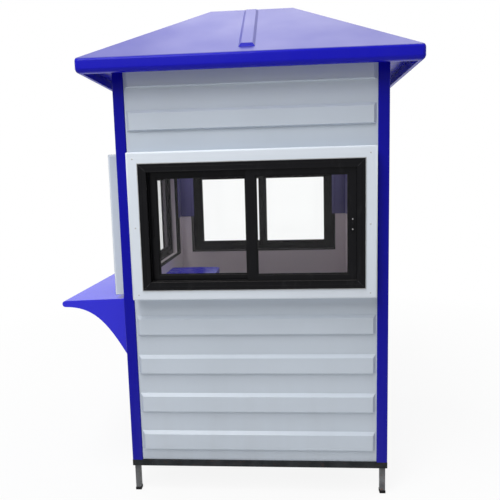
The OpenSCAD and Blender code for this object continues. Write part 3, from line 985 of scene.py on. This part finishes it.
@dataclass
class SlidingWindow:
    """One sliding window: frame, two sashes and panes, with seals, joints and latch."""

    side: Side
    edge: float = 1.8 * MM
    face_w: float = 38 * MM
    stile_w: float = 33 * MM
    seal: GlazingSeal = GlazingSeal()
    bead_w: float = 4 * MM
    bead_t: float = 2.5 * MM
    bead_edge: float = 1.1 * MM
    joint_w: float = 1.2 * MM
    joint_inset: float = 2 * MM
    joint_sides: int = 8
    line_insets: tuple[float, ...] = (2 * MM, 14 * MM, 33 * MM)
    line_w: float = 3 * MM
    line_proud: float = 1.2 * MM
    line_edge: float = 0.7 * MM
    latch_w: float = 16 * MM
    latch_h: float = 62 * MM
    latch_t: float = 5 * MM
    latch_edge: float = 1.5 * MM
    thumb_w: float = 6 * MM
    thumb_h: float = 18 * MM
    thumb_reach: float = 6 * MM
    thumb_sink: float = 1 * MM
    screw_share: float = 0.72
    screw_r: float = 2.6 * MM
    screw_rise: float = 1.2 * MM
    pull_inset: float = 22 * MM
    pull_w: float = 6 * MM
    pull_h: float = 90 * MM
    pull_t: float = 5 * MM
    pull_edge: float = 1.2 * MM

    def build(self, finishes: Finishes) -> None:
        """Dresses the window.

        Args:
            finishes: Materials of the booth.
        """
        name = f"{self.side.label}_window"
        finish_node(f"{name}_frame", finishes.black, "black_frame", self.edge)
        for hand in ("left", "right"):
            finish_node(f"{name}_{hand}_sash", finishes.black, "black_frame", self.edge)
            pane = f"{name}_{hand}_glass"
            glaze(pane, finishes)
            self.seal.build(f"{name}_{hand}_glazing_seal", pane, self.side, finishes)
        self.sealant_bead(finishes)
        self.flange_lines(finishes)
        self.corner_joints(finishes)
        self.latch(finishes)
        self.finger_pull(finishes)

    def sealant_bead(self, finishes: Finishes) -> None:
        """Adds the bead of sealant between the frame's flange and the box.

        Args:
            finishes: Materials of the booth.
        """
        low, high = self.side.box(f"{self.side.label}_window_frame")
        bead = Shape(f"{self.side.label}_window_sealant")
        w, face_y = self.bead_w, low.y + FLANGE_T
        bead.ring(
            (low.x - w, face_y - self.bead_t, low.z - w), (high.x + w, face_y, high.z + w), w, self.bead_edge
        )
        bead.place(self.side, finishes.sealant, "white_moulding")

    def flange_lines(self, finishes: Finishes) -> None:
        """Adds the raised lines of the extruded section that run round the frame's flange.

        Args:
            finishes: Materials of the booth.
        """
        low, high = self.side.box(f"{self.side.label}_window_frame")
        lines = Shape(f"{self.side.label}_window_flange_lines")
        for inset in self.line_insets:
            lines.ring(
                (low.x + inset, low.y - self.line_proud, low.z + inset),
                (high.x - inset, low.y + self.line_proud, high.z - inset), self.line_w, self.line_edge,
            )
        lines.place(self.side, finishes.black, "black_frame")

    def corner_joints(self, finishes: Finishes) -> None:
        """Adds the fine mitre joints across the corners of the frame's flange.

        Args:
            finishes: Materials of the booth.
        """
        low, high = self.side.box(f"{self.side.label}_window_frame")
        near, far = self.joint_inset, self.face_w - self.joint_inset
        joints = Shape(f"{self.side.label}_window_mitres")
        for x, sx in ((low.x, 1), (high.x, -1)):
            for z, sz in ((low.z, 1), (high.z, -1)):
                start, end = ((x + sx * way, low.y, z + sz * way) for way in (near, far))
                joints.round_bar(start, end, self.joint_w / 2, 0, self.joint_sides)
        joints.place(self.side, finishes.joint, "black_frame")

    def latch(self, finishes: Finishes) -> None:
        """Adds the latch on the outer sash's side stile.

        Args:
            finishes: Materials of the booth.
        """
        sash_low, sash_high = self.side.box(f"{self.side.label}_window_right_sash")
        frame_high = self.side.box(f"{self.side.label}_window_frame")[1]
        x = frame_high.x - self.face_w - self.stile_w / 2
        z = (sash_low.z + sash_high.z) / 2
        y = sash_low.y
        face_y = y - self.latch_t
        plate = Shape(f"{self.side.label}_window_latch")
        half_w, half_h = self.latch_w / 2, self.latch_h / 2
        plate.block((x - half_w, face_y, z - half_h), (x + half_w, y, z + half_h), self.latch_edge)
        plate.block(
            (x - self.thumb_w / 2, face_y - self.thumb_reach, z - self.thumb_h / 2),
            (x + self.thumb_w / 2, face_y + self.thumb_sink, z + self.thumb_h / 2), self.latch_edge,
        )
        plate.place(self.side, finishes.black, "black_frame")
        screws = Shape(f"{self.side.label}_window_latch_screws")
        for way in (-1, 1):
            screws.screw((x, face_y, z + way * half_h * self.screw_share), self.screw_r, self.screw_rise)
        screws.place(self.side, finishes.zinc, "handle_metal")

    def finger_pull(self, finishes: Finishes) -> None:
        """Adds the upright grip on the other sash's side stile.

        Args:
            finishes: Materials of the booth.
        """
        sash_low, sash_high = self.side.box(f"{self.side.label}_window_left_sash")
        x = sash_low.x + self.pull_inset
        z = (sash_low.z + sash_high.z) / 2
        y = sash_low.y
        pull = Shape(f"{self.side.label}_window_finger_pull")
        half_w, half_h = self.pull_w / 2, self.pull_h / 2
        pull.block((x - half_w, y - self.pull_t, z - half_h), (x + half_w, y, z + half_h), self.pull_edge)
        pull.place(self.side, finishes.black, "black_frame")


@dataclass
class Door:
    """Door on the right side: frame, leaf, its window, handle and hinges."""

    side: Side = Side.RIGHT
    edge: float = 1.8 * MM
    leaf_edge: float = 2.5 * MM
    handle_edge: float = 1.2 * MM
    hinge_edge: float = 0.8 * MM
    seal: GlazingSeal = GlazingSeal()
    pin_r: float = 7 * MM
    cap_share: float = 0.72
    cap_h: float = 3 * MM
    cap_edge: float = 1 * MM
    knuckles: int = 3
    knuckle_gap: float = 1 * MM
    knuckle_proud: float = 0.25 * MM
    hinge_plate_t: float = 4 * MM
    hinge_screw_inset: float = 16 * MM
    hinge_screw_rise: float = 1.2 * MM
    screw_r: float = 3.2 * MM
    plate_w: float = 38 * MM
    plate_t: float = 7 * MM
    plate_screw_reach: float = 92 * MM
    plate_screw_rise: float = 1.4 * MM
    lock_r: float = 9 * MM
    lock_drop: float = 62 * MM
    lock_rise: float = 4 * MM
    lock_sink: float = 1 * MM
    lock_edge: float = 1 * MM
    key_w: float = 2 * MM
    key_h: float = 10 * MM
    key_rise: float = 4.4 * MM
    key_base: float = 3 * MM
    key_edge: float = 0.3 * MM

    def build(self, finishes: Finishes) -> None:
        """Dresses the door.

        Args:
            finishes: Materials of the booth.
        """
        finish_node("door_frame", finishes.black, "black_frame", self.edge)
        finish_node("door_leaf", finishes.white, "white_moulding", self.leaf_edge)
        finish_node("door_window_frame", finishes.black, "black_frame", self.edge)
        finish_node("door_handle", finishes.chrome, "handle_metal", self.handle_edge)
        finish_node("door_hinges", finishes.base, "base_steel", self.hinge_edge)
        glaze("door_glass", finishes)
        self.lock(finishes)
        self.hinge_fittings(finishes)
        self.seal.build("door_glazing_seal", "door_glass", self.side, finishes)

    def hinge_fittings(self, finishes: Finishes) -> None:
        """Adds the screws, the knuckle joints and the pin caps of the hinges.

        Args:
            finishes: Materials of the booth.
        """
        low, high = self.side.box("door_hinges")
        levels = sorted({round(v.co.z, 4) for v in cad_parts["door_hinges"].data.vertices})
        screws = Shape("door_hinge_screws")
        joints = Shape("door_hinge_joints")
        pin_x, pin_y = (low.x + high.x) / 2, low.y + self.pin_r
        plate_y = pin_y + self.pin_r - self.hinge_plate_t
        for foot, head in zip(levels[::2], levels[1::2]):
            for x in ((low.x + pin_x - self.pin_r) / 2, (high.x + pin_x + self.pin_r) / 2):
                for z in (foot + self.hinge_screw_inset, head - self.hinge_screw_inset):
                    screws.screw((x, plate_y, z), self.screw_r, self.hinge_screw_rise)
            for step in range(1, self.knuckles):
                z = foot + (head - foot) * step / self.knuckles
                half = self.knuckle_gap / 2
                joints.round_bar(
                    (pin_x, pin_y, z - half), (pin_x, pin_y, z + half), self.pin_r + self.knuckle_proud, 0
                )
            for z, way in ((foot, -1), (head, 1)):
                tip = z + way * self.cap_h
                joints.round_bar(
                    (pin_x, pin_y, z), (pin_x, pin_y, tip), self.pin_r * self.cap_share, self.cap_edge
                )
        screws.place(self.side, finishes.zinc, "handle_metal")
        joints.place(self.side, finishes.rubber, "base_steel")

    def lock(self, finishes: Finishes) -> None:
        """Adds the key cylinder and the plate's screws below and above the lever.

        Args:
            finishes: Materials of the booth.
        """
        low, high = self.side.box("door_handle")
        middle = (low.z + high.z) / 2
        x = low.x + self.plate_w / 2
        y = high.y - self.plate_t
        z = middle - self.lock_drop
        lock = Shape("door_lock")
        lock.round_bar((x, y + self.lock_sink, z), (x, y - self.lock_rise, z), self.lock_r, self.lock_edge)
        lock.block(
            (x - self.key_w / 2, y - self.key_rise, z - self.key_h / 2),
            (x + self.key_w / 2, y - self.key_base, z + self.key_h / 2), self.key_edge,
        )
        for reach in (-self.plate_screw_reach, self.plate_screw_reach):
            lock.screw((x, y, middle + reach), self.screw_r, self.plate_screw_rise)
        lock.place(self.side, finishes.zinc, "handle_metal")


@dataclass
class Roof:
    """Moulded hipped roof and the panel that closes it from below."""

    edge: float = 3 * MM
    rim_edge: float = 9 * MM
    rim_round: float = 8 * MM
    fascia_lean: float = 0.5
    soffit_edge: float = 1.5 * MM

    def build(self, finishes: Finishes) -> None:
        """Dresses the roof.

        Args:
            finishes: Materials of the booth.
        """
        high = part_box("roof_shell")[1]

        def on_rim(point: Vector) -> bool:
            """Tells whether a point is on the outer face of the fascia."""
            side_reach = max(abs(point.x) / high.x, abs(point.y) / high.y)
            return side_reach > 1 - self.rim_round / high.x

        shell = finish_node(
            "roof_shell", finishes.roof, "blue_moulding", self.edge, first=on_rim, first_edge=self.rim_edge
        )
        # The slopes keep the roof gelcoat with its partly painted sheen; the fascia takes the plain blue.
        shell.data.materials.append(finishes.blue)
        for face in shell.data.polygons:
            if face.normal.z < self.fascia_lean:
                face.material_index = 1
        finish_node("roof_soffit", finishes.blue, "blue_moulding", self.soffit_edge)


def seen_rays(tree: bpy.types.NodeTree) -> NodeSocket:
    """Adds the test for rays that show the background: straight, mirrored and through glass.

    Args:
        tree: Node tree of the world or of a material.

    Returns:
        1 for such rays, and 0 for the rest.
    """
    ray = tree.nodes.new("ShaderNodeLightPath")
    seen = ray.outputs["Is Camera Ray"]
    for kind in ("Is Glossy Ray", "Is Transmission Ray"):
        either = tree.nodes.new("ShaderNodeMath")
        either.operation = "MAXIMUM"
        tree.links.new(seen, either.inputs[0])
        tree.links.new(ray.outputs[kind], either.inputs[1])
        seen = either.outputs[0]
    return seen


@dataclass(frozen=True)
class Softbox:
    """Soft lamp that isn't seen itself, and is mirrored only where that is asked for."""

    name: str
    place: Point
    aim: Point
    size: tuple[float, float]
    watts: float
    mirrored: bool = False

    def build(self) -> None:
        """Adds the lamp."""
        data = bpy.data.lights.new(self.name, "AREA")
        data.shape = "RECTANGLE"
        data.size, data.size_y = self.size
        data.energy = self.watts
        lamp = bpy.data.objects.new(self.name, data)
        lamp.location = self.place
        lamp.rotation_mode = "QUATERNION"
        lamp.rotation_quaternion = (Vector(self.aim) - Vector(self.place)).to_track_quat("-Z", "Y")
        lamp.visible_camera = False
        lamp.visible_transmission = False
        lamp.visible_glossy = self.mirrored
        bpy.context.scene.collection.objects.link(lamp)


SOFTBOXES = (
    Softbox("front_softbox", (-1.3, -3.4, 4.3), (0, -0.5, 1.2), (2.4, 2.4), 100.0, mirrored=True),
    Softbox("high_softbox", (-0.9, -1.9, 5.8), (0, -0.6, 1.0), (1.6, 1.6), 135.0),
    Softbox("back_softbox", (1.3, 2.2, 6.4), (0, -0.3, 2.2), (6.6, 2.2), 66.0, mirrored=True),
    Softbox("right_softbox", (3.8, 0.5, 3.0), (0.6, 0, 1.2), (2.0, 2.0), 47.0),
    Softbox("left_softbox", (-3.6, 1.8, 3.4), (-0.6, 0.2, 1.2), (2.4, 2.4), 60.0),
    Softbox("room_fill", (-0.1, 0, 1.97), (-0.1, 0, 1.0), (0.8, 0.9), 3.7),
)


@dataclass
class Studio:
    """Plain pale floor, soft lamps and the camera at the photograph's angle."""

    camera_place: Point = (0.1412, -2.8726, 1.4876)
    turn_left: float = 0.0673
    tilt_up: float = -0.1196
    roll: float = -0.0253
    lens: float = 36.27
    sensor: float = 36.0
    shift_up: float = -0.0157
    floor_half: float = 40.0
    ambient: float = 0.20
    shade_share: float = 0.10
    floor_fill: float = 0.78
    shade_near: float = 1.2
    shade_far: float = 4.0

    def build(self) -> None:
        """Sets the stage."""
        scene = bpy.context.scene
        scene.view_settings.view_transform = "Standard"
        self.world()
        self.floor()
        for box in SOFTBOXES:
            box.build()
        self.camera()

    def world(self) -> None:
        """Makes the world: soft fill light, and white where it is seen, mirrored or seen through."""
        world = bpy.data.worlds.new("studio_world")
        bpy.context.scene.world = world
        world.use_nodes = True
        tree = world.node_tree
        tree.nodes.clear()
        level = tree.nodes.new("ShaderNodeMix")
        level.inputs["A"].default_value = self.ambient
        level.inputs["B"].default_value = 1.0
        tree.links.new(seen_rays(tree), level.inputs["Factor"])
        light = tree.nodes.new("ShaderNodeBackground")
        light.inputs["Color"].default_value = WHITE
        tree.links.new(level.outputs["Result"], light.inputs["Strength"])
        out = tree.nodes.new("ShaderNodeOutputWorld")
        tree.links.new(light.outputs[0], out.inputs["Surface"])

    def floor(self) -> None:
        """Makes the floor: white where it is seen, with a faint shadow of the booth."""
        bm = bmesh.new()
        bmesh.ops.create_grid(bm, x_segments=1, y_segments=1, size=self.floor_half)
        mesh = bpy.data.meshes.new("studio_floor")
        bm.to_mesh(mesh)
        bm.free()
        floor = bpy.data.objects.new("studio_floor", mesh)
        bpy.context.scene.collection.objects.link(floor)
        g = Graph("pale_floor")
        shaded = g.node("ShaderNodeBsdfDiffuse")
        shaded.inputs["Color"].default_value = (*(self.floor_fill,) * 3, 1)
        white = g.node("ShaderNodeEmission")
        white.inputs["Color"].default_value = WHITE
        both = g.node("ShaderNodeMixShader")
        far = g.node("ShaderNodeVectorMath", operation="LENGTH")
        g.feed(far.inputs[0], g.place)
        whiteness = g.span(far.outputs["Value"], self.shade_near, self.shade_far, 1 - self.shade_share, 1)
        g.feed(both.inputs["Fac"], g.times(seen_rays(g.tree), whiteness))
        g.feed(both.inputs[1], shaded.outputs["BSDF"])
        g.feed(both.inputs[2], white.outputs["Emission"])
        g.feed(g.output.inputs["Surface"], both.outputs["Shader"])
        mesh.materials.append(g.material)

    def camera(self) -> None:
        """Adds the camera."""
        level = Vector((-math.sin(self.turn_left), math.cos(self.turn_left), 0))
        right = Vector((math.cos(self.turn_left), math.sin(self.turn_left), 0))
        up = Vector((0, 0, 1))
        ahead = math.cos(self.tilt_up) * level + math.sin(self.tilt_up) * up
        above = -math.sin(self.tilt_up) * level + math.cos(self.tilt_up) * up
        across = math.cos(self.roll) * right + math.sin(self.roll) * above
        upright = -math.sin(self.roll) * right + math.cos(self.roll) * above
        data = bpy.data.cameras.new("camera")
        data.lens = self.lens
        data.sensor_width = self.sensor
        data.shift_y = self.shift_up
        camera = bpy.data.objects.new("camera", data)
        turned = Matrix((across, upright, -ahead)).transposed().to_4x4()
        camera.matrix_world = Matrix.Translation(self.camera_place) @ turned
        bpy.context.scene.collection.objects.link(camera)
        bpy.context.scene.camera = camera


class Assembly(Protocol):
    """Part of the booth that builds and dresses itself."""

    def build(self, finishes: Finishes) -> None:
        """Adds the assembly's pieces."""


def main() -> None:
    """Builds the booth and its studio in order."""
    logging.basicConfig(level=logging.INFO, format="%(name)s %(message)s")
    finishes = Finishes()
    assemblies: tuple[Assembly, ...] = (
        Base(), Shell(), *(SlidingWindow(side) for side in WINDOW_SIDES), Door(), Roof()
    )
    for assembly in assemblies:
        assembly.build(finishes)
    Studio().build()


if __name__ == "__main__":
    main()
